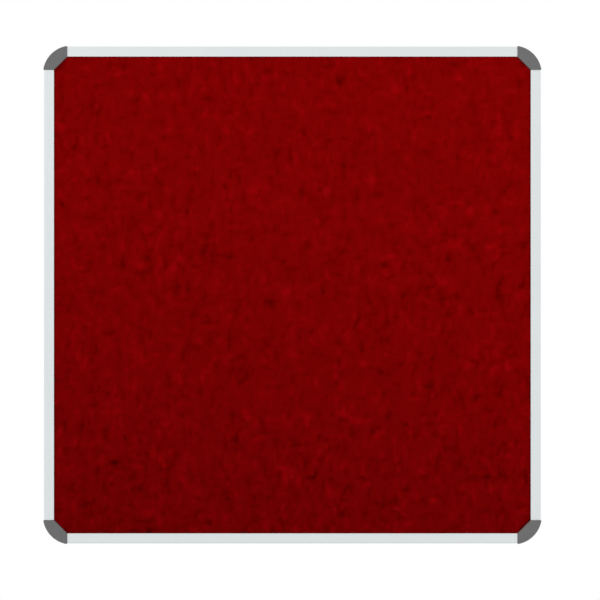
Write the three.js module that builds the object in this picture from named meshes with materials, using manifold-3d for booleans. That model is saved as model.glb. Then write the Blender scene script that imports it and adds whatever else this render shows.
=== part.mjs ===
// A square pinboard: felt over softboard and hardboard, held in four aluminium rails. A moulded connector
// joins the rails at each corner and takes the wall screw, and a push-on cap hides both.
//
// Millimetres. The board is drawn lying on its back, with x to the right, y up the board and z out from
// the wall. The last group stands it up, so the finished part has its front towards -Y, its top towards
// +Z and the wall plane at y = 0.

import * as THREE from "three";
import { mergeVertices } from "three/addons/utils/BufferGeometryUtils.js";
import Module from "manifold-3d";

const wasm = await Module();
wasm.setup();

// Board size, measured over the outer faces of the rails
const boardWidth = 900;
const boardHeight = 900;

// Panel: three sheets bonded face to face
const hardboardThickness = 3;
const softboardThickness = 9;
const feltThickness = 2.5;
const panelClearance = 0.3;
const panelUnderCap = 5;

// Rail section: a closed chamber along the outside, and a channel that is open towards the panel
const faceWidth = 18.5;
const outerWall = 1.2;
const chamberWidth = 7;
const chamberWeb = 1.2;
const frontWall = 1.3;
const rearFlange = 1.2;
const rearFlangeWidth = 14;
const lipWidth = 1.4;
const lipDepth = 2.3;
const outerEdgeRadius = 2.5;
const lipEdgeRadius = 0.8;

// Corner cap: a round outer edge, square leg ends that lap over the rails, and a diagonal inner edge
const capReach = 42.5;
const capArcRadius = 51.7;
const capProud = 0.9;
const capLap = 2;
const capPlate = 2;
const capWall = 1.6;
const capEdgeRadius = 1;
const capCornerRadius = 1.2;
const roundingLimitShare = 0.9;
const capRearGap = 0.6;
const fitClearance = 0.3;

// Pegs of the cap, and the sockets that take them
const pegRadius = 1.6;
const pegLength = 11;
const pegPoint = 1.5;
const pegTipRadius = 0.9;
const pegSetback = 8.5;
const socketWall = 1.8;
const socketSpare = 0.8;

// Corner connector
const connectorFloor = 2;
const connectorWall = 2;
const ribThickness = 1.4;
const ribHeight = 10;
const wallHoleRadius = 2.5;
const wallRecessRadius = 5;
const wallSeat = 4;
const wallBossHeight = 12;
const wallBossWall = 2;

// Tongues of the connector, with barbs that grip the chamber
const tongueLength = 45;
const tongueBarbs = 8;
const barbDepth = 0.6;
const tongueTip = 5;
const tongueTipWidth = 3;

// Countersunk screws, driven from behind through the rails' flange into the tongues
const screwSetback = 27;
const screwLength = 13;
const screwShankRadius = 1.45;
const screwHeadRadius = 2.75;
const screwHeadHeight = 1.6;
const screwPoint = 3;
const recessLength = 3;
const recessWidth = 0.7;
const recessDepth = 1;

// Cuts run this far past the faces they open
const overrun = 1;

// Facets
const arcSteps = 28;
const edgeSteps = 5;
const roundSides = 24;

// A place in the board's plane, and the same place on the other side of the corner's diagonal
const at = (x, y) => new THREE.Vector2(x, y);
const mirrored = (place) => at(place.y, place.x);

// Heights from the wall plane
const softboardRear = rearFlange + hardboardThickness;
const feltRear = softboardRear + softboardThickness;
const feltFront = feltRear + feltThickness;
const frameDepth = feltFront + lipDepth;
const chamberFront = frameDepth - frontWall;
const plateRear = frameDepth + fitClearance;
const capFront = plateRear + capPlate;

// Distances in from the outer face of a rail
const chamberEnd = outerWall + chamberWidth;
const chamberMiddle = outerWall + chamberWidth / 2;
const channelStart = chamberEnd + chamberWeb;
const panelInset = channelStart + panelClearance;

// Distances along a rail from the corner where two rails' outer faces would meet
const railStart = capReach - capLap;
const screwPlace = railStart + screwSetback;
const tongueEnd = railStart + tongueLength;

// The arc's centre lies on the corner's diagonal, so that the arc passes outside the rail by capProud
// at the end of each leg
const legSpan = capReach - capProud;
const arcSpare = 2 * (capArcRadius ** 2 - capReach ** 2 - capProud ** 2);
const capArcCentre = (legSpan + Math.sqrt(legSpan ** 2 + arcSpare)) / 2;

// A diagonal edge is named by the sum of a point's two distances from the corner
const capDiagonal = capReach + faceWidth;
const panelDiagonal = capDiagonal - panelUnderCap * Math.SQRT2;
const connectorDiagonal = panelDiagonal - fitClearance * Math.SQRT2;

// The cap's edge is rounded as far as its plate and its corners allow
const capEdge = Math.min(capEdgeRadius, roundingLimitShare * Math.min(capPlate, capCornerRadius));

// The connector stands inside the cap's wall
const connectorInset = capWall + fitClearance;
const connectorArcRadius = capArcRadius - connectorInset;
const wallHolePlace = (capArcCentre - connectorArcRadius / Math.SQRT2 + connectorDiagonal / 2) / 2;
const pegPlace = railStart - pegSetback;
const pegSide = (arcHeight(pegPlace, connectorArcRadius) + connectorDiagonal - pegPlace) / 2;
const pegs = [at(pegPlace, pegSide), at(pegSide, pegPlace)];
const socketRadius = pegRadius + fitClearance;
const socketFloor = plateRear - pegLength - socketSpare;

// Where an arc about the corner piece's centre crosses the line that stands at this distance along the leg
function arcHeight(along, radius) {
  return capArcCentre - Math.sqrt(radius ** 2 - (capArcCentre - along) ** 2);
}

// Solids

function solidOf(geometry) {
  geometry.deleteAttribute("normal");
  geometry.deleteAttribute("uv");
  const merged = mergeVertices(geometry);
  return new wasm.Manifold(
    new wasm.Mesh({
      numProp: 3,
      vertProperties: merged.getAttribute("position").array,
      triVerts: new Uint32Array(merged.index.array),
    }),
  );
}

function geometryOf(solid) {
  const mesh = solid.getMesh();
  const geometry = new THREE.BufferGeometry();
  geometry.setAttribute("position", new THREE.BufferAttribute(mesh.vertProperties, 3));
  geometry.setIndex(new THREE.BufferAttribute(mesh.triVerts, 1));
  const faceted = geometry.toNonIndexed();
  faceted.computeVertexNormals();
  return faceted;
}

function joined(solids) {
  return solids.reduce((whole, solid) => whole.add(solid));
}

function prism(outline, from, to) {
  const shape = outline.isShape ? outline : new THREE.Shape(outline);
  const geometry = new THREE.ExtrudeGeometry(shape, { depth: to - from, bevelEnabled: false });
  return solidOf(geometry.translate(0, 0, from));
}

// A round post or hole that stands along z, and may taper
function post(place, from, to, radius, farRadius = radius) {
  const geometry = new THREE.CylinderGeometry(farRadius, radius, to - from, roundSides);
  geometry.rotateX(Math.PI / 2);
  return solidOf(geometry.translate(place.x, place.y, (from + to) / 2));
}

// Joins rings of as many points each into one closed solid, from the lowest ring to the highest
function loft(rings) {
  const count = rings[0].outline.length;
  const positions = rings.flatMap(({ outline, height }) => outline.flatMap((p) => [p.x, p.y, height]));
  const index = [];
  for (let ring = 1; ring < rings.length; ring++) {
    const low = (ring - 1) * count;
    const high = ring * count;
    for (let i = 0; i < count; i++) {
      const next = (i + 1) % count;
      index.push(low + i, low + next, high + next);
      index.push(low + i, high + next, high + i);
    }
  }
  const top = (rings.length - 1) * count;
  for (const [a, b, c] of THREE.ShapeUtils.triangulateShape(rings[0].outline, [])) {
    index.push(c, b, a);
    index.push(top + a, top + b, top + c);
  }
  const geometry = new THREE.BufferGeometry();
  geometry.setAttribute("position", new THREE.Float32BufferAttribute(positions, 3));
  geometry.setIndex(index);
  return solidOf(geometry);
}

// Outlines

function arcPoints(centre, radius, from, to, steps) {
  return Array.from({ length: steps + 1 }, (_, step) => {
    const angle = from + ((to - from) * step) / steps;
    return at(centre.x + radius * Math.cos(angle), centre.y + radius * Math.sin(angle));
  });
}

// The plan of a corner piece, anticlockwise: the leg ends and the diagonal are straight, the outer edge
// is an arc, and a rounding may ease the corners between them
function cornerPlan(radius, reach, diagonal, rounding) {
  const inner = [at(reach, diagonal - reach), at(diagonal - reach, reach)];
  const lean = Math.asin((capArcCentre - reach + rounding) / (radius - rounding));
  const upEnd = Math.PI + lean;
  const acrossEnd = 1.5 * Math.PI - lean;
  const outer = arcPoints(at(capArcCentre, capArcCentre), radius, upEnd, acrossEnd, arcSteps);
  if (rounding === 0) return [...inner, ...outer];
  const across = at(reach - rounding, arcHeight(reach - rounding, radius - rounding));
  const easeUp = arcPoints(mirrored(across), rounding, Math.PI / 2, upEnd, edgeSteps).slice(0, -1);
  const easeAcross = arcPoints(across, rounding, acrossEnd, 2 * Math.PI, edgeSteps).slice(1);
  return [...inner, ...easeUp, ...outer, ...easeAcross];
}

function capPlan(inset) {
  const diagonal = capDiagonal - inset * Math.SQRT2;
  return cornerPlan(capArcRadius - inset, capReach - inset, diagonal, Math.max(capCornerRadius - inset, 0));
}

// The panel's plan about the board's centre: a rectangle with its four corners cut off
function panelPlan() {
  const halfWidth = boardWidth / 2;
  const halfHeight = boardHeight / 2;
  const cut = panelDiagonal - panelInset;
  const signs = [at(-1, -1), at(1, -1), at(1, 1), at(-1, 1)];
  return signs.flatMap((sign, turn) => {
    const pair = [at(panelInset, cut), at(cut, panelInset)];
    const ordered = turn % 2 === 0 ? pair : pair.reverse();
    return ordered.map((p) => at(sign.x * (halfWidth - p.x), sign.y * (halfHeight - p.y)));
  });
}

// Rail section, across the face and out from the wall
function railSection() {
  const lipEdge = at(faceWidth - lipEdgeRadius, frameDepth - lipEdgeRadius);
  const outerEdge = at(outerEdgeRadius, frameDepth - outerEdgeRadius);
  const section = new THREE.Shape([
    at(0, 0),
    at(rearFlangeWidth, 0),
    at(rearFlangeWidth, rearFlange),
    at(channelStart, rearFlange),
    at(channelStart, chamberFront),
    at(faceWidth - lipWidth, chamberFront),
    at(faceWidth - lipWidth, feltFront),
    at(faceWidth, feltFront),
    ...arcPoints(lipEdge, lipEdgeRadius, 0, Math.PI / 2, edgeSteps),
    ...arcPoints(outerEdge, outerEdgeRadius, Math.PI / 2, Math.PI, edgeSteps),
  ]);
  section.holes.push(
    new THREE.Path([
      at(outerWall, rearFlange),
      at(outerWall, chamberFront),
      at(chamberEnd, chamberFront),
      at(chamberEnd, rearFlange),
    ]),
  );
  return section;
}

// Pieces. Corner pieces are drawn at the lower left corner, with x and y running in along the two rails.

function rail(length) {
  const run = length - 2 * railStart;
  const geometry = new THREE.ExtrudeGeometry(railSection(), { depth: run, bevelEnabled: false });
  const lengthwise = new THREE.Matrix4().makeBasis(
    new THREE.Vector3(0, 1, 0),
    new THREE.Vector3(0, 0, 1),
    new THREE.Vector3(1, 0, 0),
  );
  const bar = solidOf(geometry.applyMatrix4(lengthwise).translate(railStart, 0, 0));
  const holes = [screwPlace, length - screwPlace].map((along) => screwHole(at(along, chamberMiddle)));
  return bar.subtract(joined(holes));
}

// The hole in the rail's flange follows the screw's countersunk head with the fit's clearance all round
function screwHole(place) {
  const slope = (screwHeadRadius - screwShankRadius) / screwHeadHeight;
  const mouth = screwHeadRadius + fitClearance + slope * overrun;
  const throat = screwShankRadius + fitClearance;
  const countersink = post(place, -overrun, screwHeadHeight, mouth, throat);
  return countersink.add(post(place, -overrun, rearFlange + overrun, throat));
}

function screw() {
  const profile = [
    at(0, 0),
    at(screwHeadRadius, 0),
    at(screwShankRadius, screwHeadHeight),
    at(screwShankRadius, screwLength - screwPoint),
    at(0, screwLength),
  ];
  const turned = solidOf(new THREE.LatheGeometry(profile, roundSides).rotateX(Math.PI / 2));
  const half = at(recessLength / 2, recessWidth / 2);
  const slots = [half, mirrored(half)].map((reach) => {
    const rim = [at(-reach.x, -reach.y), at(reach.x, -reach.y), reach, at(-reach.x, reach.y)];
    return prism(rim, -overrun, recessDepth);
  });
  return turned.subtract(joined(slots));
}

// A tongue's plan: each barb steps out square towards the connector and slopes down towards the tip
function tonguePlan() {
  const root = railStart - connectorWall;
  const full = chamberWidth / 2 - fitClearance;
  const waist = full - barbDepth;
  const pitch = (tongueLength - tongueTip) / tongueBarbs;
  const edge = [at(root, waist)];
  for (let barb = 0; barb < tongueBarbs; barb++) {
    const heel = railStart + barb * pitch;
    edge.push(at(heel, waist), at(heel, full));
  }
  edge.push(at(tongueEnd - tongueTip, waist));
  edge.push(at(tongueEnd, tongueTipWidth / 2));
  const above = edge.map((p) => at(p.x, chamberMiddle + p.y));
  const below = edge.map((p) => at(p.x, chamberMiddle - p.y));
  return [...below, ...above.reverse()];
}

function rib(from, to) {
  const side = new THREE.Vector2().subVectors(to, from).normalize();
  side.set(-side.y, side.x).multiplyScalar(ribThickness / 2);
  const near = [from.clone().add(side), from.clone().sub(side)];
  const far = [to.clone().sub(side), to.clone().add(side)];
  return prism([...near, ...far], 0, ribHeight);
}

function connector() {
  const outline = cornerPlan(connectorArcRadius, railStart, connectorDiagonal, 0);
  const inside = cornerPlan(
    connectorArcRadius - connectorWall,
    railStart - connectorWall,
    connectorDiagonal - connectorWall * Math.SQRT2,
    0,
  );
  const whole = prism(outline, 0, frameDepth);
  const tray = whole.subtract(prism(inside, connectorFloor, frameDepth + overrun));
  const wallHole = at(wallHolePlace, wallHolePlace);
  const legEnd = at(railStart - connectorWall / 2, pegSide);
  const fittings = joined([
    post(wallHole, 0, wallBossHeight, wallRecessRadius + wallBossWall),
    ...pegs.map((place) => post(place, 0, frameDepth, socketRadius + socketWall)),
    ...pegs.map((place) => rib(wallHole, place)),
    rib(pegs[0], legEnd),
    rib(pegs[1], mirrored(legEnd)),
  ]);
  const tongues = [tonguePlan(), tonguePlan().map(mirrored).reverse()].map((plan) =>
    prism(plan, rearFlange + fitClearance, chamberFront - fitClearance),
  );
  const body = joined([tray, fittings.intersect(whole), ...tongues]);
  const pilots = [at(screwPlace, chamberMiddle), at(chamberMiddle, screwPlace)];
  const cuts = joined([
    post(wallHole, -overrun, wallSeat + overrun, wallHoleRadius),
    post(wallHole, wallSeat, frameDepth + overrun, wallRecessRadius),
    ...pegs.map((place) => post(place, socketFloor, frameDepth + overrun, socketRadius)),
    ...pilots.map((place) => post(place, 0, screwLength + fitClearance, screwShankRadius + fitClearance)),
  ]);
  return body.subtract(cuts);
}

function cap() {
  const rings = [{ outline: capPlan(0), height: capRearGap }];
  for (let step = 0; step <= edgeSteps; step++) {
    const turn = (step / edgeSteps) * (Math.PI / 2);
    rings.push({
      outline: capPlan(capEdge * (1 - Math.cos(turn))),
      height: capFront - capEdge * (1 - Math.sin(turn)),
    });
  }
  const hollow = prism(capPlan(capWall), -overrun, plateRear);
  const far = capReach + overrun;
  const near = railStart - fitClearance;
  const side = faceWidth + fitClearance;
  // The room's last side runs at 45 degrees, which squares off the end of the cap's diagonal wall
  const legRoom = [
    at(near, -capProud - overrun),
    at(far, -capProud - overrun),
    at(far, side + capWall),
    at(near + capWall, side + capWall),
    at(near, side),
  ];
  const panelRoom = [at(connectorDiagonal - far, far), at(far, connectorDiagonal - far), at(far, far)];
  const rooms = joined([
    prism(legRoom, -overrun, plateRear),
    prism(legRoom.map(mirrored).reverse(), -overrun, plateRear),
    prism(panelRoom, -overrun, feltFront + fitClearance),
  ]);
  const stems = pegs.map((place) => {
    const pointStart = plateRear - pegLength + pegPoint;
    const point = post(place, plateRear - pegLength, pointStart, pegTipRadius, pegRadius);
    return point.add(post(place, pointStart, plateRear + capPlate / 2, pegRadius));
  });
  return joined([loft(rings).subtract(hollow).subtract(rooms), ...stems]);
}

// Finishes
const finishes = {
  aluminium: { color: 0xdce2e3, metalness: 0.6, roughness: 0.45 },
  grey: { color: 0x6e6e6e, metalness: 0, roughness: 0.55 },
  felt: { color: 0x7a0203, metalness: 0, roughness: 1 },
  softboard: { color: 0xb59a6f, metalness: 0, roughness: 0.95 },
  hardboard: { color: 0x6b4a2f, metalness: 0, roughness: 0.8 },
  steel: { color: 0xc8cacc, metalness: 0.9, roughness: 0.35 },
};

function piece(name, geometry, finish) {
  const mesh = new THREE.Mesh(geometry, new THREE.MeshStandardMaterial(finishes[finish]));
  mesh.name = name;
  return mesh;
}

// Assembly. Each rail starts at its own corner and runs anticlockwise round the board.
const sides = ["bottom", "right", "top", "left"];
const corners = ["bottom_left", "bottom_right", "top_right", "top_left"];
const cornerPlaces = [at(-1, -1), at(1, -1), at(1, 1), at(-1, 1)];

const board = new THREE.Group();
board.rotation.x = Math.PI / 2;

const sheets = [
  ["hardboard_back", rearFlange, softboardRear, "hardboard"],
  ["softboard_core", softboardRear, feltRear, "softboard"],
  ["felt_facing", feltRear, feltFront, "felt"],
];
for (const [name, from, to, finish] of sheets) {
  board.add(piece(name, geometryOf(prism(panelPlan(), from, to)), finish));
}

const connectorGeometry = geometryOf(connector());
const capGeometry = geometryOf(cap());
const screwGeometry = geometryOf(screw());

corners.forEach((corner, turn) => {
  const side = sides[turn];
  const sideBefore = sides[(turn + 3) % sides.length];
  const group = new THREE.Group();
  group.position.set((cornerPlaces[turn].x * boardWidth) / 2, (cornerPlaces[turn].y * boardHeight) / 2, 0);
  group.rotation.z = (turn * Math.PI) / 2;

  const length = turn % 2 === 0 ? boardWidth : boardHeight;
  group.add(piece(`${side}_rail`, geometryOf(rail(length)), "aluminium"));
  group.add(piece(`${corner}_connector`, connectorGeometry, "grey"));
  group.add(piece(`${corner}_cap`, capGeometry, "grey"));

  const ownScrew = piece(`${side}_rail_${sideBefore}_screw`, screwGeometry, "steel");
  ownScrew.position.set(screwPlace, chamberMiddle, 0);
  const otherScrew = piece(`${sideBefore}_rail_${side}_screw`, screwGeometry, "steel");
  otherScrew.position.set(chamberMiddle, screwPlace, 0);
  group.add(ownScrew, otherScrew);
  board.add(group);
});

export default board;
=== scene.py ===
# A square pinboard seen straight on: deep red felt in a silver aluminium frame with grey corner caps.
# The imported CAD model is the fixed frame. This script gives every surface its finish, lays the felt
# and moulds the caps. Metres, +Z up, the front of the board towards -Y.

import math

import bmesh
import bpy
import numpy as np
from mathutils import Matrix, Vector


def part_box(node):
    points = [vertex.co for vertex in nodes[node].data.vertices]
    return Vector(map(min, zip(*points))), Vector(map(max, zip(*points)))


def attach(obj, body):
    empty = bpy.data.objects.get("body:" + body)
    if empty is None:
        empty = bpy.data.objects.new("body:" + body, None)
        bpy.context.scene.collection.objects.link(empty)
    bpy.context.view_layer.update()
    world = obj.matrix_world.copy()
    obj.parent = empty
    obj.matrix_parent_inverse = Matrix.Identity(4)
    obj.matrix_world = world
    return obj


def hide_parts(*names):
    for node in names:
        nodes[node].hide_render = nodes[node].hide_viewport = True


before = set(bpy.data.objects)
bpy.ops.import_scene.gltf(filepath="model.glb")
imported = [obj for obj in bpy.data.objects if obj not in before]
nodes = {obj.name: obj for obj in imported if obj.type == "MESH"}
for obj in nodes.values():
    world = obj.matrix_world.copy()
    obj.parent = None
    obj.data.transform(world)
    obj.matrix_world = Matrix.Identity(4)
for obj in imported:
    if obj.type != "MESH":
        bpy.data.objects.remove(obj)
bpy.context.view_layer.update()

mm = 0.001
CORNERS = ("bottom_left", "bottom_right", "top_right", "top_left")
CORNER_SIGNS = ((-1, -1), (1, -1), (1, 1), (-1, 1))
LEVEL_RAILS = ("top_rail", "bottom_rail")
UPRIGHT_RAILS = ("left_rail", "right_rail")


# Sizes that the frame gives

felt_low, felt_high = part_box("felt_facing")
rail_low, rail_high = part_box("bottom_rail")
cap_low, cap_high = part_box("bottom_left_cap")
half_width = -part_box("left_rail")[0].x
half_height = -rail_low.z
face_width = rail_high.z - rail_low.z
rail_start = rail_low.x + half_width
frame_depth = -rail_low.y
felt_front = -felt_low.y
felt_thickness = felt_high.y - felt_low.y
felt_half = felt_high.x


# Sizes of the corner cap

# It is drawn at the lower left corner, with x and y running in along the two rails and z out from the
# wall. It stands proud of the rails by a hair less than the CAD cap, whose facets are longer.
CAP_LAP = 2 * mm
CAP_REACH = rail_start + CAP_LAP
CAP_PROUD = 0.87 * mm
CAP_ARC_RADIUS = 51.7 * mm
CAP_PLATE = 2 * mm
CAP_WALL = 1.6 * mm
CAP_EDGE_RADIUS = 1 * mm
CAP_CORNER_RADIUS = 1.2 * mm
CAP_LEAST_ROUNDING = 0.2 * mm
CAP_FRONT = -cap_low.y
CAP_REAR = -cap_high.y
FIT_CLEARANCE = 0.3 * mm
PEG_RADIUS = 1.6 * mm
PEG_TIP_RADIUS = 0.9 * mm
PEG_LENGTH = 11 * mm
PEG_POINT = 1.5 * mm
PEG_SETBACK = 8.5 * mm
OVERRUN = 1 * mm
ARC_STEPS = 44
CORNER_STEPS = 8
EDGE_SEGMENTS = 6
PEG_SIDES = 24
SMOOTH_ANGLE = math.radians(35)

# The arc's centre lies on the corner's diagonal
leg_span = CAP_REACH - CAP_PROUD
arc_spare = 2 * (CAP_ARC_RADIUS**2 - CAP_REACH**2 - CAP_PROUD**2)
CAP_ARC_CENTRE = (leg_span + math.sqrt(leg_span**2 + arc_spare)) / 2
CAP_DIAGONAL = CAP_REACH + face_width
PLATE_REAR = CAP_FRONT - CAP_PLATE


# Sizes of the felt

# It is cut square with its corners cropped, and gripped under the rails' lips, where its face is painted
# darker as shade
FELT_CELLS = 312
FELT_CROP = 53.93 * mm
FELT_GRIP = 0.22 * mm
FELT_GRIP_AND_SHADE_REACH = 4 * mm
# Painted shade on the felt's face next to the rails' lips
FELT_LIP_PAINTED_SHADE = 0.12

# A part of the sheet belongs to its face if its normal rises by more than this
FELT_FACE_NORMAL = 0.5

# The strength of a stroke of fibre or a pit on its face is a share of the felt's own tone, and its
# height goes with its strength
FIBRE_SEED = 7
STROKES = 12000
STROKE_LENGTH = (9 * mm, 28 * mm)
STROKE_WIDTH = (5 * mm, 10 * mm)
STROKE_STRENGTH = 0.098
STROKE_LEAN = math.radians(16)
UPRIGHT_SHARE = 0.68
PITS = 560
PIT_WIDTH = (5 * mm, 9 * mm)
PIT_LENGTH_SHARES = (1, 1.5)
PIT_STRENGTH = 0.14

# Both are left off beyond this share of their longer side from their middle, where they have faded out
FADED_OUT_SHARE = 0.8
RELIEF_PER_TONE = 1.1 * mm
RELIEF_LIMIT = 0.32 * mm


# Nodes of a material and of the world

# Soft noise seldom leaves this range
NOISE_LOW = 0.3
NOISE_MIDDLE = 0.5
NOISE_HIGH = 0.7


def shader_of(name, settings):
    """A new material, its tree, and its Principled shader with all that is even over the surface set."""
    made = bpy.data.materials.new(name)
    made.use_nodes = True
    tree = made.node_tree
    shader = tree.nodes["Principled BSDF"]
    for socket, value in settings.items():
        shader.inputs[socket].default_value = value
    return made, tree, shader


def place_on(tree, size=(1, 1, 1), lean=0):
    """Object coordinates for a pattern of a size along each axis, turned about Y by lean."""
    coordinates = tree.nodes.new("ShaderNodeTexCoord")
    mapping = tree.nodes.new("ShaderNodeMapping")
    mapping.vector_type = "TEXTURE"
    mapping.inputs["Scale"].default_value = size
    mapping.inputs["Rotation"].default_value = (0, lean, 0)
    tree.links.new(coordinates.outputs["Object"], mapping.inputs["Vector"])
    return mapping.outputs["Vector"]


def grain(tree, size, detail=2.0, roughness=0.5, lean=0):
    """Soft noise from 0 to 1, whose blotches are about size across, or have a size along each axis."""
    if isinstance(size, float):
        size = (size, size, size)
    texture = tree.nodes.new("ShaderNodeTexNoise")
    texture.inputs["Scale"].default_value = 1.0
    texture.inputs["Detail"].default_value = detail
    texture.inputs["Roughness"].default_value = roughness
    tree.links.new(place_on(tree, size, lean), texture.inputs["Vector"])
    return texture.outputs["Fac"]


def combined(tree, first, second, operation="ADD"):
    """Two values, or a value and a number, put together by one Math node."""
    node = tree.nodes.new("ShaderNodeMath")
    node.operation = operation
    for socket, value in zip(node.inputs, (first, second)):
        if isinstance(value, (int, float)):
            socket.default_value = value
        else:
            tree.links.new(value, socket)
    return node.outputs[0]


def total(tree, first, *others):
    """Values and numbers added up."""
    for other in others:
        first = combined(tree, first, other)
    return first


def spread(tree, value, low, high, from_low=NOISE_LOW, from_high=NOISE_HIGH):
    """Carries a value from one range to another, and holds it there."""
    node = tree.nodes.new("ShaderNodeMapRange")
    node.inputs["From Min"].default_value = from_low
    node.inputs["From Max"].default_value = from_high
    node.inputs["To Min"].default_value = low
    node.inputs["To Max"].default_value = high
    tree.links.new(value, node.inputs["Value"])
    return node.outputs["Result"]


def swing(tree, noise, tone):
    """Soft noise carried to a tone that goes as far below 0 as above it."""
    return spread(tree, noise, -tone, tone)


def toned(tree, colour, tone):
    """A colour made lighter or darker by a tone about 1."""
    node = tree.nodes.new("ShaderNodeVectorMath")
    node.operation = "SCALE"
    node.inputs[0].default_value = colour
    tree.links.new(tone, node.inputs["Scale"])
    return node.outputs["Vector"]


def both_colours(tree, first, second):
    """Two colours added together."""
    node = tree.nodes.new("ShaderNodeVectorMath")
    node.operation = "ADD"
    tree.links.new(first, node.inputs[0])
    tree.links.new(second, node.inputs[1])
    return node.outputs["Vector"]


def blended(tree, share, dark, light):
    """Two colours mixed: all dark at a share of 0, and all light at 1."""
    node = tree.nodes.new("ShaderNodeMix")
    node.data_type = "RGBA"
    node.inputs["A"].default_value = (*dark, 1)
    node.inputs["B"].default_value = (*light, 1)
    tree.links.new(share, node.inputs["Factor"])
    return node.outputs["Result"]


def roughened(tree, shader, height, distance, strength=1.0):
    """Bump from a height on a shader."""
    bump = tree.nodes.new("ShaderNodeBump")
    bump.inputs["Distance"].default_value = distance
    bump.inputs["Strength"].default_value = strength
    tree.links.new(height, bump.inputs["Height"])
    tree.links.new(bump.outputs["Normal"], shader.inputs["Normal"])


# Camera

# It stands as far off as for a catalogue picture, and square on to the board
PHOTO_SIZE = 600
BOARD_PIXELS = 496.75
BOARD_CENTRE_PIXEL = (292.35, 295.0)
PHOTO_SCALE = 2 * half_width / BOARD_PIXELS
LENS = 100.0
SENSOR = 36.0
RAIL_EDGE_ROUND = 2.5 * mm


def camera():
    """Looks along +Y, a little right of and below the board's centre, as the photograph is framed."""
    data = bpy.data.cameras.new("camera")
    data.lens = LENS
    data.sensor_width = SENSOR
    data.sensor_fit = "HORIZONTAL"
    made = bpy.data.objects.new("camera", data)
    bpy.context.scene.collection.objects.link(made)
    middle = PHOTO_SIZE / 2
    # The rails' outline is widest just behind the round of their front edge
    outline_depth = frame_depth - RAIL_EDGE_ROUND
    distance = PHOTO_SIZE * PHOTO_SCALE * LENS / SENSOR
    made.location = (
        (middle - BOARD_CENTRE_PIXEL[0]) * PHOTO_SCALE,
        -outline_depth - distance,
        (BOARD_CENTRE_PIXEL[1] - middle) * PHOTO_SCALE,
    )
    made.rotation_euler = (math.pi / 2, 0, 0)
    bpy.context.scene.camera = made


# Light

WORLD_SEEN = 1.0
WORLD_ON_SURFACES = 0.78

# Each lamp's name, place, size and power, and whether the metal mirrors it
LAMPS = (
    ("key_lamp", (-2.4, -1.9, 1.9), 1.6, 15.0, False),
    ("soft_box", (-2.8, -2.3, 1.6), 3.0, 8.0, True),
    ("fill_lamp", (2.6, -1.8, 0.1), 1.6, 15.0, False),
    ("top_lamp", (0.0, 0.2, 2.4), 1.6, 12.0, False),
    ("back_lamp", (1.6, 2.3, 1.5), 2.0, 22.0, False),
)


def studio_world():
    """White all round to the eye and in reflections, and a softer fill on matt surfaces."""
    world = bpy.data.worlds.new("studio")
    bpy.context.scene.world = world
    world.use_nodes = True
    tree = world.node_tree
    background = tree.nodes["Background"]
    background.inputs["Color"].default_value = (1, 1, 1, 1)
    path = tree.nodes.new("ShaderNodeLightPath")
    seen = combined(tree, path.outputs["Is Camera Ray"], path.outputs["Is Glossy Ray"], "MAXIMUM")
    seen = combined(tree, seen, path.outputs["Is Transmission Ray"], "MAXIMUM")
    strength = spread(tree, seen, WORLD_ON_SURFACES, WORLD_SEEN, 0, 1)
    tree.links.new(strength, background.inputs["Strength"])


def lamps():
    """Large square soft lamps, each aimed at the board's middle."""
    for name, place, size, power, mirrored in LAMPS:
        data = bpy.data.lights.new(name, "AREA")
        data.shape = "SQUARE"
        data.size = size
        data.energy = power
        lamp = bpy.data.objects.new(name, data)
        bpy.context.scene.collection.objects.link(lamp)
        lamp.location = place
        lamp.rotation_euler = Vector(place).to_track_quat("Z", "Y").to_euler()
        lamp.visible_camera = False
        lamp.visible_glossy = mirrored


# Finishes

# A colour is the light that a surface gives back, and a tone is how far a pattern lightens or darkens
# it, as a share of it.

# Aluminium of the rails

SILVER = (0.74, 0.777, 0.785)
SATIN_METAL = {"Metallic": 1.0, "Specular Tint": (0.7, 0.72, 0.74, 1)}
SATIN_ROUGHNESS = (0.34, 0.46)
LINE_WIDTH = 0.6 * mm
LINE_LENGTH = 180 * mm
LINE_TONE = 0.03
LINE_DEPTH = 0.006 * mm
ANODISED_CLOUD = 90 * mm
ANODISED_CLOUD_TONE = 0.008
ETCH = 0.25 * mm
ETCH_TONE = 0.02


def anodised_aluminium(name, along):
    """Satin silver anodising over fine extrusion lines that run along the rail."""
    made, tree, shader = shader_of(name, SATIN_METAL)
    size = [LINE_WIDTH] * 3
    size[along] = LINE_LENGTH
    lines = grain(tree, tuple(size), detail=3.0, roughness=0.65)
    cloud = grain(tree, ANODISED_CLOUD)
    etch = grain(tree, ETCH)
    tone = total(
        tree, 1,
        swing(tree, lines, LINE_TONE),
        swing(tree, cloud, ANODISED_CLOUD_TONE),
        swing(tree, etch, ETCH_TONE),
    )
    tree.links.new(toned(tree, SILVER, tone), shader.inputs["Base Color"])
    tree.links.new(spread(tree, lines, *SATIN_ROUGHNESS), shader.inputs["Roughness"])
    roughened(tree, shader, lines, LINE_DEPTH, strength=0.5)
    return made


# Plastic of the caps and connectors

CAP_GREY = (0.128, 0.128, 0.128)
CONNECTOR_GREY = (0.1, 0.1, 0.1)
MOULD_ROUGHNESS = (0.4, 0.58)
MOULD_GRAIN = 0.6 * mm
MOULD_GRAIN_TONE = 0.12
MOULD_GRAIN_DEPTH = 0.3 * mm
FLOW_MARK = 14 * mm
FLOW_MARK_TONE = 0.03


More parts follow.
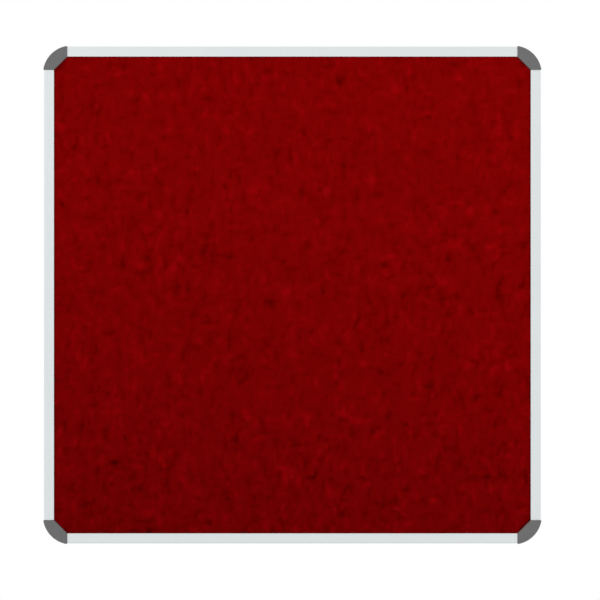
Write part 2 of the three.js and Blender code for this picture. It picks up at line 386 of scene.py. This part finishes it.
def moulded_plastic(name, colour):
    """Matt grey plastic with the fine eroded grain of its mould."""
    made, tree, shader = shader_of(name, {})
    fine = grain(tree, MOULD_GRAIN, detail=3.0, roughness=0.6)
    flow = grain(tree, FLOW_MARK)
    tone = total(tree, 1, swing(tree, fine, MOULD_GRAIN_TONE), swing(tree, flow, FLOW_MARK_TONE))
    tree.links.new(toned(tree, colour, tone), shader.inputs["Base Color"])
    tree.links.new(spread(tree, fine, *MOULD_ROUGHNESS), shader.inputs["Roughness"])
    roughened(tree, shader, fine, MOULD_GRAIN_DEPTH)
    return made


# Fibres too fine for a mesh

# Each lay's lean from upright in degrees, and its fibres' spacing and length
FELT_FIBRES = ((-24, 0.55 * mm, 5 * mm), (38, 0.55 * mm, 5 * mm), (86, 0.6 * mm, 6 * mm))
FELT_STRANDS = ((5, 1.6 * mm, 15 * mm), (-62, 1.7 * mm, 13 * mm))
HARDBOARD_FIBRES = ((-18, 0.6 * mm, 5 * mm), (52, 0.7 * mm, 6 * mm), (-75, 0.6 * mm, 5 * mm))
FIBRE_WIDTH_SHARE = 0.06


def lying_fibres(tree, lays):
    """Thin wavering fibres, one lay over another: 1 along the middle of each, and 0 between them."""
    top = 0
    for lean, spacing, length in lays:
        noise = grain(tree, (spacing, spacing, length), detail=0.0, lean=math.radians(lean))
        off_middle = combined(tree, combined(tree, noise, NOISE_MIDDLE, "SUBTRACT"), 0, "ABSOLUTE")
        lay = spread(tree, off_middle, 1, 0, 0, FIBRE_WIDTH_SHARE)
        top = combined(tree, top, lay, "MAXIMUM")
    return top


# Felt of the face

# Its light fibres are pinker than the rest
FELT_RED = (0.194, 0.0007, 0.0)
FELT_PINK = (0.0, 0.0, 0.0031)
FELT_PINK_TONES = (-0.25, 0.7)
MATT_WOOL = {
    "Roughness": 1.0,
    "Specular IOR Level": 0.0,
    "Sheen Weight": 0.25,
    "Sheen Roughness": 0.5,
    "Sheen Tint": (0.55, 0.004, 0.006, 1),
}
# Painted light: the felt's colour is lighter towards the top and a little lighter towards the right
FELT_PAINTED_LIGHT_UPWARD = (0.826, 1.198)
FELT_PAINTED_LIGHT_BOW = -0.055
FELT_PAINTED_LIGHT_ACROSS = 0.03
FELT_FIBRE_TONES = (-0.13, 0.14)
FELT_STRAND_TONES = (-0.03, 0.08)
FLUFF = 0.35 * mm
FLUFF_TONE = 0.08
FELT_DEPTH = 0.14 * mm


def felt_painted_light_fall_off(tree):
    """Painted light: the felt's broad tone about 1, lighter towards the top and a little towards the
    right.
    """
    place = tree.nodes.new("ShaderNodeSeparateXYZ")
    tree.links.new(place_on(tree), place.inputs["Vector"])
    up, across = place.outputs["Z"], place.outputs["X"]
    rise = spread(tree, up, -1, 1, -half_height, half_height)
    return total(
        tree,
        spread(tree, up, *FELT_PAINTED_LIGHT_UPWARD, -half_height, half_height),
        combined(tree, combined(tree, rise, rise, "MULTIPLY"), FELT_PAINTED_LIGHT_BOW, "MULTIPLY"),
        spread(tree, across, -FELT_PAINTED_LIGHT_ACROSS, FELT_PAINTED_LIGHT_ACROSS, -half_width, half_width),
    )


def red_felt():
    """Needled wool felt: a soft mottle, small pits, fibres lying over each other at all angles, and
    painted light and shade.
    """
    made, tree, shader = shader_of("red_felt", MATT_WOOL)
    # The pile's tones hold painted shade beside the rails' lips
    pile_and_lip_shade = tree.nodes.new("ShaderNodeAttribute")
    pile_and_lip_shade.attribute_name = "pile_and_lip_shade"
    fibres = lying_fibres(tree, FELT_FIBRES)
    strands = lying_fibres(tree, FELT_STRANDS)
    fluff = grain(tree, FLUFF, detail=1.0)
    local = total(
        tree,
        pile_and_lip_shade.outputs["Fac"],
        spread(tree, fibres, *FELT_FIBRE_TONES, 0, 1),
        spread(tree, strands, *FELT_STRAND_TONES, 0, 1),
        swing(tree, fluff, FLUFF_TONE),
    )
    # The red takes the painted light's fall-off as well as the felt's own tones
    red = toned(tree, FELT_RED, total(tree, felt_painted_light_fall_off(tree), local))
    pink = toned(tree, FELT_PINK, spread(tree, local, 0, 1, *FELT_PINK_TONES))
    tree.links.new(both_colours(tree, red, pink), shader.inputs["Base Color"])
    roughened(tree, shader, total(tree, fibres, fluff, strands), FELT_DEPTH, strength=0.6)
    return made


# Softboard of the core

SOFTBOARD_DARK = (0.3, 0.2, 0.1)
SOFTBOARD_LIGHT = (0.52, 0.4, 0.25)
SOFTBOARD_FLECK = 4 * mm
SOFTBOARD_FLECK_SHARE = 0.7
SOFTBOARD_FIBRE = 0.8 * mm
SOFTBOARD_FIBRE_SHARE = 0.3
SOFTBOARD_DEPTH = 0.3 * mm


def loose_softboard():
    """Loosely pressed wood fibre: flecks of two browns over a finer grain."""
    made, tree, shader = shader_of("softboard", {"Roughness": 0.9})
    flecks = grain(tree, SOFTBOARD_FLECK, detail=4.0, roughness=0.7)
    fibres = grain(tree, SOFTBOARD_FIBRE)
    light = total(
        tree,
        spread(tree, flecks, 0, SOFTBOARD_FLECK_SHARE),
        spread(tree, fibres, 0, SOFTBOARD_FIBRE_SHARE),
    )
    tree.links.new(blended(tree, light, SOFTBOARD_DARK, SOFTBOARD_LIGHT), shader.inputs["Base Color"])
    roughened(tree, shader, total(tree, flecks, fibres), SOFTBOARD_DEPTH, strength=0.7)
    return made


# Hardboard of the back

HARDBOARD_DARK = (0.07, 0.036, 0.018)
HARDBOARD_LIGHT = (0.2, 0.112, 0.058)
HARDBOARD_FLECK = 2.5 * mm
HARDBOARD_FLECK_SHARE = 0.4
HARDBOARD_CLOUD = 120 * mm
HARDBOARD_CLOUD_SHARE = 0.2
HARDBOARD_FIBRE_SHARE = 0.24
HARDBOARD_DEPTH = 0.35 * mm
FIBRE_HEIGHT_SHARE = 0.3
SCREEN_PITCH = 2.4 * mm
SCREEN_LEANS = (math.radians(45), math.radians(-45))
SCREEN_SHARE = 0.25

# A wave texture of scale 1 has its bands this far apart
WAVE_PERIOD = math.pi / 10


def screen_wires(tree, lean):
    """One set of the screen's wires, which waver a little as they lie: 1 on each and 0 between them."""
    wave = tree.nodes.new("ShaderNodeTexWave")
    wave.bands_direction = "X"
    wave.inputs["Scale"].default_value = WAVE_PERIOD / SCREEN_PITCH
    wave.inputs["Distortion"].default_value = 5.0
    wave.inputs["Detail"].default_value = 0.0
    wave.inputs["Detail Scale"].default_value = 0.5
    tree.links.new(place_on(tree, lean=lean), wave.inputs["Vector"])
    return wave.outputs["Fac"]


def screened_hardboard():
    """Dark hardboard whose rear face keeps the print of the press's wire screen."""
    made, tree, shader = shader_of("screened_hardboard", {"Roughness": 0.75})
    flecks = grain(tree, HARDBOARD_FLECK, detail=4.0, roughness=0.7)
    cloud = grain(tree, HARDBOARD_CLOUD, detail=3.0)
    fibres = lying_fibres(tree, HARDBOARD_FIBRES)
    screen = combined(tree, *(screen_wires(tree, lean) for lean in SCREEN_LEANS), "MULTIPLY")
    light = total(
        tree,
        spread(tree, flecks, 0, HARDBOARD_FLECK_SHARE),
        spread(tree, cloud, 0, HARDBOARD_CLOUD_SHARE),
        combined(tree, screen, SCREEN_SHARE, "MULTIPLY"),
        combined(tree, fibres, HARDBOARD_FIBRE_SHARE, "MULTIPLY"),
    )
    height = total(tree, screen, flecks, combined(tree, fibres, FIBRE_HEIGHT_SHARE, "MULTIPLY"))
    tree.links.new(blended(tree, light, HARDBOARD_DARK, HARDBOARD_LIGHT), shader.inputs["Base Color"])
    roughened(tree, shader, height, HARDBOARD_DEPTH, strength=0.9)
    return made


# Steel of the screws

ZINC = (0.62, 0.63, 0.64)
ZINC_CLOUD = 1.2 * mm
ZINC_TONES = (0.9, 1.05)
ZINC_ROUGHNESS = (0.22, 0.38)


def plated_steel():
    """Bright zinc plating, a little uneven."""
    made, tree, shader = shader_of("plated_steel", {"Metallic": 1.0})
    cloud = grain(tree, ZINC_CLOUD, detail=3.0)
    tree.links.new(toned(tree, ZINC, spread(tree, cloud, *ZINC_TONES)), shader.inputs["Base Color"])
    tree.links.new(spread(tree, cloud, *ZINC_ROUGHNESS), shader.inputs["Roughness"])
    return made


# Making and placing pieces

def object_from(bm, name, material):
    """An object at the origin from a finished bmesh."""
    mesh = bpy.data.meshes.new(name)
    bm.to_mesh(mesh)
    bm.free()
    made = bpy.data.objects.new(name, mesh)
    bpy.context.scene.collection.objects.link(made)
    if material:
        mesh.materials.append(material)
    return made


def corners_of(geometry):
    """The vertices among the parts that an operator returns."""
    return [part for part in geometry if isinstance(part, bmesh.types.BMVert)]


def corner_place(turn):
    """Where a corner piece, drawn lying at the lower left corner, stands on the board."""
    sign = CORNER_SIGNS[turn]
    stand_up = Matrix.Rotation(math.pi / 2, 4, "X")
    corner = Matrix.Translation((sign[0] * half_width, sign[1] * half_height, 0))
    return stand_up @ corner @ Matrix.Rotation(turn * math.pi / 2, 4, "Z")


def settled(piece):
    """Turns a piece's modifiers into plain mesh."""
    depsgraph = bpy.context.evaluated_depsgraph_get()
    mesh = bpy.data.meshes.new_from_object(piece.evaluated_get(depsgraph))
    piece.modifiers.clear()
    old = piece.data
    piece.data = mesh
    bpy.data.meshes.remove(old)


def carved(piece, tools, operation="DIFFERENCE"):
    """Cuts each tool out of a piece, or joins it on, and throws the tool away."""
    for tool in tools:
        modifier = piece.modifiers.new("cut", "BOOLEAN")
        modifier.operation = operation
        modifier.solver = "EXACT"
        modifier.object = tool
    settled(piece)
    for tool in tools:
        bpy.data.meshes.remove(tool.data)


def smooth_by_angle(piece):
    """Shades a piece smooth, with hard edges where its faces turn by more than the smooth angle."""
    bm = bmesh.new()
    bm.from_mesh(piece.data)
    for face in bm.faces:
        face.smooth = True
    for edge in bm.edges:
        edge.smooth = edge.is_manifold and edge.calc_face_angle(0) < SMOOTH_ANGLE
    bm.to_mesh(piece.data)
    bm.free()
    weighted = piece.modifiers.new("flat_faces_stay_flat", "WEIGHTED_NORMAL")
    weighted.keep_sharp = True


# Corner caps

def arc_height(along, radius):
    """Where an arc about the cap's centre stands at a distance along the leg."""
    return CAP_ARC_CENTRE - math.sqrt(radius**2 - (CAP_ARC_CENTRE - along) ** 2)


def cap_blank(inset, low, high):
    """A solid on the cap's plan, drawn in by inset, between two heights."""
    radius = CAP_ARC_RADIUS - inset
    reach = CAP_REACH - inset
    rounding = max(CAP_CORNER_RADIUS - inset, CAP_LEAST_ROUNDING)
    diagonal = CAP_DIAGONAL - inset * math.sqrt(2)
    lean = math.asin((CAP_ARC_CENTRE - reach + rounding) / (radius - rounding))
    ease = Vector((reach - rounding, arc_height(reach - rounding, radius - rounding), low))
    middle = Vector((CAP_ARC_CENTRE, CAP_ARC_CENTRE, low))
    turns = (
        (ease.yxz, math.pi / 2 + lean, CORNER_STEPS),
        (middle, math.pi / 2 - 2 * lean, ARC_STEPS),
        (ease, math.pi / 2 + lean, CORNER_STEPS),
    )
    bm = bmesh.new()
    first = bmesh.ops.create_vert(bm, co=ease.yxz + Vector((0, rounding, 0)))["vert"]
    last = first
    for centre, angle, steps in turns:
        swept = bmesh.ops.spin(bm, geom=last, cent=centre, axis=(0, 0, 1), angle=angle, steps=steps)
        last = swept["geom_last"]
    inner = [(reach, diagonal - reach, low), (diagonal - reach, reach, low)]
    inner = [bmesh.ops.create_vert(bm, co=place)["vert"][0] for place in inner]
    ends = [last[0], *inner, first[0]]
    for start, end in zip(ends, ends[1:]):
        bm.edges.new((start, end))
    bmesh.ops.contextual_create(bm, geom=bm.edges[:])
    raised = bmesh.ops.extrude_face_region(bm, geom=bm.faces[:])["geom"]
    bmesh.ops.translate(bm, verts=corners_of(raised), vec=(0, 0, high - low))
    bmesh.ops.recalc_face_normals(bm, faces=bm.faces[:])
    return bm


def rounded_front(bm, radius):
    """Rounds the edges of a solid's front face."""
    front = max(bm.faces, key=lambda face: face.calc_center_median().z)
    bmesh.ops.bevel(
        bm, geom=list(front.edges), offset=radius, offset_type="OFFSET", segments=EDGE_SEGMENTS,
        profile=0.5, affect="EDGES", material=-1, clamp_overlap=True,
    )


def slab(corner_low, corner_high, turn=0):
    """A block between two corners, turned about its own upright middle line, as a cutting tool."""
    bm = bmesh.new()
    low, high = Vector(corner_low), Vector(corner_high)
    size = Matrix.Diagonal((*(high - low), 1))
    place = Matrix.Translation((low + high) / 2) @ Matrix.Rotation(turn, 4, "Z")
    bmesh.ops.create_cube(bm, size=1, matrix=place @ size)
    return object_from(bm, "tool", None)


def wall_end_room(x, y):
    """A square post's room, turned by 45 degrees, which squares off one end of the diagonal wall."""
    half = CAP_WALL / math.sqrt(2)
    return slab((x - half, y - half, CAP_REAR - OVERRUN), (x + half, y + half, PLATE_REAR), math.pi / 4)


def panel_room():
    """The room that the felt-faced panel needs behind the cap's diagonal wall."""
    height = felt_front + FIT_CLEARANCE - (CAP_REAR - OVERRUN)
    width = 2 * CAP_REACH
    bm = bmesh.new()
    bmesh.ops.create_cube(bm, size=1)
    bmesh.ops.scale(bm, verts=bm.verts[:], vec=(width, width, height))
    bmesh.ops.translate(bm, verts=bm.verts[:], vec=(width / 2, 0, CAP_REAR - OVERRUN + height / 2))
    edge = (FELT_CROP - FIT_CLEARANCE * math.sqrt(2)) / math.sqrt(2)
    bmesh.ops.translate(bm, verts=bm.verts[:], vec=(edge, 0, 0))
    turn = Matrix.Rotation(math.pi / 4, 3, "Z")
    bmesh.ops.rotate(bm, verts=bm.verts[:], cent=(0, 0, 0), matrix=turn)
    return object_from(bm, "tool", None)


def peg(place):
    """A cap's peg, with its tip drawn in to find the socket."""
    bm = bmesh.new()
    top = PLATE_REAR + CAP_PLATE / 2
    tip = PLATE_REAR - PEG_LENGTH
    bmesh.ops.create_cone(
        bm, cap_ends=True, segments=PEG_SIDES, radius1=PEG_RADIUS, radius2=PEG_RADIUS, depth=top - tip,
        matrix=Matrix.Translation((place[0], place[1], (top + tip) / 2)),
    )
    foot = min(bm.faces, key=lambda face: face.calc_center_median().z)
    bmesh.ops.translate(bm, verts=list(foot.verts), vec=(0, 0, PEG_POINT))
    lower = corners_of(bmesh.ops.extrude_face_region(bm, geom=[foot])["geom"])
    bmesh.ops.delete(bm, geom=[foot], context="FACES_ONLY")
    shrink = PEG_TIP_RADIUS / PEG_RADIUS
    space = Matrix.Translation((-place[0], -place[1], 0))
    bmesh.ops.scale(bm, verts=lower, vec=(shrink, shrink, 1), space=space)
    bmesh.ops.translate(bm, verts=lower, vec=(0, 0, -PEG_POINT))
    bmesh.ops.recalc_face_normals(bm, faces=bm.faces[:])
    return object_from(bm, "tool", None)


def cap_shell(material):
    """The moulded cap, lying at the lower left corner: plate, arc wall, diagonal wall and two pegs."""
    bm = cap_blank(0, CAP_REAR, CAP_FRONT)
    rounded_front(bm, CAP_EDGE_RADIUS)
    shell = object_from(bm, "cap", material)
    hollow = object_from(cap_blank(CAP_WALL, CAP_REAR - OVERRUN, PLATE_REAR), "tool", None)
    start = rail_start - FIT_CLEARANCE
    side = face_width + FIT_CLEARANCE
    far = CAP_REACH + OVERRUN
    outer = -CAP_PROUD - OVERRUN
    rooms = [
        slab((start, outer, CAP_REAR - OVERRUN), (far, side, PLATE_REAR)),
        slab((outer, start, CAP_REAR - OVERRUN), (side, far, PLATE_REAR)),
        wall_end_room(start + CAP_WALL, side),
        wall_end_room(side, start + CAP_WALL),
    ]
    carved(shell, [hollow, *rooms, panel_room()])
    connector_arc = CAP_ARC_RADIUS - CAP_WALL - FIT_CLEARANCE
    along = rail_start - PEG_SETBACK
    across = (arc_height(along, connector_arc) + FELT_CROP - FIT_CLEARANCE * math.sqrt(2) - along) / 2
    carved(shell, [peg((along, across)), peg((across, along))], "UNION")
    return shell


def caps(material):
    """Four caps, each on its own cover body, so that it pulls off forwards."""
    pattern = cap_shell(material)
    for turn, corner in enumerate(CORNERS):
        mesh = pattern.data.copy()
        mesh.transform(corner_place(turn))
        piece = bpy.data.objects.new(f"{corner}_corner_cap", mesh)
        bpy.context.scene.collection.objects.link(piece)
        smooth_by_angle(piece)
        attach(piece, f"{corner}_cover")
        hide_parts(f"{corner}_cap")
    bpy.data.meshes.remove(pattern.data)


# Felt

def add_stroke(tones, pitch, place, angle, length, width, strength):
    """Adds one soft-edged stroke to the map of tones, which has a value every pitch over the felt."""
    reach = FADED_OUT_SHARE * max(length, width)
    low = np.maximum(np.floor((place - reach + felt_half) / pitch).astype(int), 0)
    high = np.minimum(np.ceil((place + reach + felt_half) / pitch).astype(int) + 1, tones.shape)
    spans = zip(low, high, place)
    across, up = (np.arange(start, end) * pitch - felt_half - middle for start, end, middle in spans)
    across, up = np.meshgrid(across, up, indexing="ij")
    along = across * math.cos(angle) + up * math.sin(angle)
    aside = up * math.cos(angle) - across * math.sin(angle)
    shape = np.exp(-(np.abs(2 * along / length) ** 3) - (2 * aside / width) ** 2)
    tones[low[0]:high[0], low[1]:high[1]] += strength * shape


def fibre_tones():
    """The felt's face as a map: short strokes of fibre, most upright and some level, and small pits."""
    random = np.random.default_rng(FIBRE_SEED)
    pitch = 2 * felt_half / FELT_CELLS
    tones = np.zeros((FELT_CELLS + 1, FELT_CELLS + 1))
    for _ in range(STROKES):
        place = random.uniform(-felt_half, felt_half, 2)
        angle = random.normal(math.pi / 2 if random.random() < UPRIGHT_SHARE else 0, STROKE_LEAN)
        length, width = random.uniform(*STROKE_LENGTH), random.uniform(*STROKE_WIDTH)
        add_stroke(tones, pitch, place, angle, length, width, random.normal() * STROKE_STRENGTH)
    for _ in range(PITS):
        place = random.uniform(-felt_half, felt_half, 2)
        width = random.uniform(*PIT_WIDTH)
        length = width * random.uniform(*PIT_LENGTH_SHARES)
        angle = random.uniform(0, math.pi)
        add_stroke(tones, pitch, place, angle, length, width, -abs(random.normal()) * PIT_STRENGTH)
    return tones


def felt_blank():
    """A closed sheet of fine cells that lies face up with its face at 0 and its corners cropped."""
    bm = bmesh.new()
    bmesh.ops.create_grid(bm, x_segments=FELT_CELLS, y_segments=FELT_CELLS, size=felt_half)
    reach = (half_width + half_height - FELT_CROP) / math.sqrt(2)
    for sign in CORNER_SIGNS:
        outward = Vector((sign[0], sign[1], 0)).normalized()
        crop = outward * reach
        parts = bm.verts[:] + bm.edges[:] + bm.faces[:]
        bmesh.ops.bisect_plane(bm, geom=parts, plane_co=crop, plane_no=outward, clear_outer=True)
    rear = bmesh.ops.extrude_edge_only(bm, edges=[edge for edge in bm.edges if edge.is_boundary])["geom"]
    bmesh.ops.translate(bm, verts=corners_of(rear), vec=(0, 0, -felt_thickness))
    bmesh.ops.contextual_create(bm, geom=[edge for edge in bm.edges if edge.is_boundary])
    return bm


def lay_pile(bm):
    """Gives the sheet's face its tones and its relief, paints shade beside the rails' lips, and presses
    it down under them.
    """
    pile_and_lip_shade = bm.verts.layers.float.new("pile_and_lip_shade")
    tones = fibre_tones()
    lip = half_width - face_width
    for vert in bm.verts:
        if vert.co.z < -felt_thickness / 2:
            continue
        cell = [round((place + felt_half) / (2 * felt_half) * FELT_CELLS) for place in vert.co.xy]
        tone = tones[cell[0], cell[1]]
        inside = min(lip - abs(vert.co.x), lip - abs(vert.co.y))
        gripped_and_shaded = 1 - min(max(inside / FELT_GRIP_AND_SHADE_REACH, 0), 1)
        # The tone takes painted shade next to the lips
        vert[pile_and_lip_shade] = tone - FELT_LIP_PAINTED_SHADE * gripped_and_shaded
        relief = min(max(tone * RELIEF_PER_TONE, -RELIEF_LIMIT), RELIEF_LIMIT)
        vert.co.z += relief * (1 - gripped_and_shaded) - FELT_GRIP * gripped_and_shaded**2


def felt(material):
    """The felt, closed all round, with its face a little uneven, stood up against the softboard."""
    bm = felt_blank()
    lay_pile(bm)
    for face in bm.faces:
        face.smooth = face.normal.z > FELT_FACE_NORMAL
    bmesh.ops.recalc_face_normals(bm, faces=bm.faces[:])
    bmesh.ops.transform(bm, matrix=Matrix.Rotation(math.pi / 2, 4, "X"), verts=bm.verts[:])
    bmesh.ops.translate(bm, verts=bm.verts[:], vec=(0, felt_low.y, 0))
    piece = object_from(bm, "felt_sheet", material)
    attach(piece, "board")
    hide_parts("felt_facing")


# Floor

FLOOR_DROP = 0.5
FLOOR_RADIUS = 2.1
FLOOR_SIDES = 96
FLOOR_PLAIN_SHARE = 0.35
FLOOR_FADED_SHARE = 0.97
MATT_PALE = {"Base Color": (0.86, 0.86, 0.86, 1), "Roughness": 1.0, "Specular IOR Level": 0.0}


def distance_out(tree):
    """How far a place on the floor is from under the board's middle."""
    level = tree.nodes.new("ShaderNodeVectorMath")
    level.operation = "MULTIPLY"
    level.inputs[1].default_value = (1, 1, 0)
    tree.links.new(place_on(tree), level.inputs[0])
    out = tree.nodes.new("ShaderNodeVectorMath")
    out.operation = "LENGTH"
    tree.links.new(level.outputs["Vector"], out.inputs[0])
    return out.outputs["Value"]


def floor():
    """A plain pale floor well below the board, which fades into the white all round."""
    bm = bmesh.new()
    bmesh.ops.create_circle(bm, cap_ends=True, segments=FLOOR_SIDES, radius=FLOOR_RADIUS)
    bmesh.ops.translate(bm, verts=bm.verts[:], vec=(0, 0, -half_height - FLOOR_DROP))
    made, tree, shader = shader_of("pale_floor", MATT_PALE)
    plain = FLOOR_PLAIN_SHARE * FLOOR_RADIUS
    faded = FLOOR_FADED_SHARE * FLOOR_RADIUS
    fade = spread(tree, distance_out(tree), 0, 1, plain, faded)
    path = tree.nodes.new("ShaderNodeLightPath")
    seen = combined(tree, path.outputs["Is Camera Ray"], path.outputs["Is Glossy Ray"], "MAXIMUM")
    white = tree.nodes.new("ShaderNodeEmission")
    mix = tree.nodes.new("ShaderNodeMixShader")
    tree.links.new(combined(tree, fade, seen, "MULTIPLY"), mix.inputs[0])
    tree.links.new(shader.outputs[0], mix.inputs[1])
    tree.links.new(white.outputs[0], mix.inputs[2])
    tree.links.new(mix.outputs[0], tree.nodes["Material Output"].inputs["Surface"])
    object_from(bm, "floor", made)


# The whole scene

def dress(names, material):
    """Gives CAD nodes their finish."""
    for name in names:
        nodes[name].data.materials.clear()
        nodes[name].data.materials.append(material)


camera()
studio_world()
lamps()
floor()
bpy.context.scene.view_settings.view_transform = "Standard"

dress(LEVEL_RAILS, anodised_aluminium("aluminium_level", 0))
dress(UPRIGHT_RAILS, anodised_aluminium("aluminium_upright", 2))
dress([f"{corner}_connector" for corner in CORNERS], moulded_plastic("connector_plastic", CONNECTOR_GREY))
dress([name for name in nodes if name.endswith("_screw")], plated_steel())
dress(["softboard_core"], loose_softboard())
dress(["hardboard_back"], screened_hardboard())
caps(moulded_plastic("cap_plastic", CAP_GREY))
felt(red_felt())
